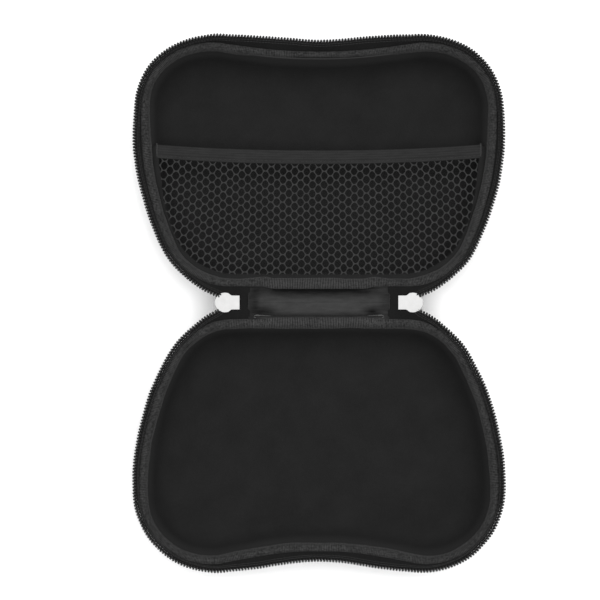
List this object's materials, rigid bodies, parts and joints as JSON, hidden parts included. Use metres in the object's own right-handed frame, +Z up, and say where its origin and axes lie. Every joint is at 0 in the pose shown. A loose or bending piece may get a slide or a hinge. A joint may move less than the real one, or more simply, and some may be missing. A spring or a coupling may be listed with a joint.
{
  "type": "zippered carrying case",
  "caption": "Zippered hard-shell carrying case for headphones, opened flat, with fabric hinge and mesh pocket.",
  "frame": {"origin": "on the resting surface, under the middle of the spine between the two open halves", "axes": "+X along the hinge to the right, +Y from the base half towards the lid half, +Z up out of the open halves"},
  "size_m": [0.1812, 0.2616, 0.0389],
  "materials": {
    "shell_fabric": "matte",
    "inner_lining": "matte",
    "rib_binding": "matte",
    "zip_tape": "matte",
    "zip_coil": "satin",
    "hinge_fabric": "matte",
    "spine_velvet": "matte",
    "pocket_mesh": "matte",
    "pocket_trim": "matte",
    "pocket_elastic": "matte",
    "white_metal": "satin",
    "thread": "matte"
  },
  "bodies": {
    "base": {"base_shell": "shell_fabric", "base_lining": "inner_lining", "base_rim_binding": "rib_binding", "base_zip_tape": "zip_tape", "base_zip_coil": "zip_coil", "base_hinge_leg": "hinge_fabric", "left_bar_tack": "thread", "right_bar_tack": "thread"},
    "spine": {"spine_outer_strip": "hinge_fabric", "spine_lining": "spine_velvet", "left_zip_end_tape_lid": "zip_tape", "left_zip_end_tape_base": "zip_tape", "left_zip_end_coil_lid": "zip_coil", "left_zip_end_coil_base": "zip_coil", "right_zip_end_tape_lid": "zip_tape", "right_zip_end_tape_base": "zip_tape", "right_zip_end_coil_lid": "zip_coil", "right_zip_end_coil_base": "zip_coil"},
    "lid": {"lid_shell": "shell_fabric", "lid_lining": "inner_lining", "lid_rim_binding": "rib_binding", "lid_zip_tape": "zip_tape", "lid_zip_coil": "zip_coil", "lid_hinge_leg": "hinge_fabric", "pocket_net": "pocket_mesh", "pocket_edge_tape": "pocket_trim", "pocket_hem": "pocket_elastic"},
    "left_slider": {"left_slider": "white_metal"},
    "right_slider": {"right_slider": "white_metal"},
    "left_pull": {"left_pull_tab": "white_metal"},
    "right_pull": {"right_pull_tab": "white_metal"}
  },
  "joints": [
    {"name": "spine_fold", "type": "hinge", "parent": "base", "child": "spine", "pos_m": [0, -0.008, 0.0332], "axis": [1, 0, 0], "range_deg": [0, 90]},
    {"name": "lid_fold", "type": "hinge", "parent": "spine", "child": "lid", "pos_m": [0, 0.008, 0.0332], "axis": [1, 0, 0], "range_deg": [0, 90]},
    {"name": "left_slider_travel", "type": "slide", "parent": "spine", "child": "left_slider", "axis": [-1, 0, 0], "range_m": [-0.0034, 0]},
    {"name": "left_pull_swing", "type": "hinge", "parent": "left_slider", "child": "left_pull", "pos_m": [-0.044, 0, 0.02745], "axis": [0, 1, 0], "range_deg": [-80, 80]},
    {"name": "right_slider_travel", "type": "slide", "parent": "spine", "child": "right_slider", "axis": [1, 0, 0], "range_m": [-0.0034, 0]},
    {"name": "right_pull_swing", "type": "hinge", "parent": "right_slider", "child": "right_pull", "pos_m": [0.044, 0, 0.02745], "axis": [0, 1, 0], "range_deg": [-80, 80]}
  ],
  "couplings": [
    {"joint": "lid_fold", "follows": "spine_fold", "ratio": 1}
  ]
}
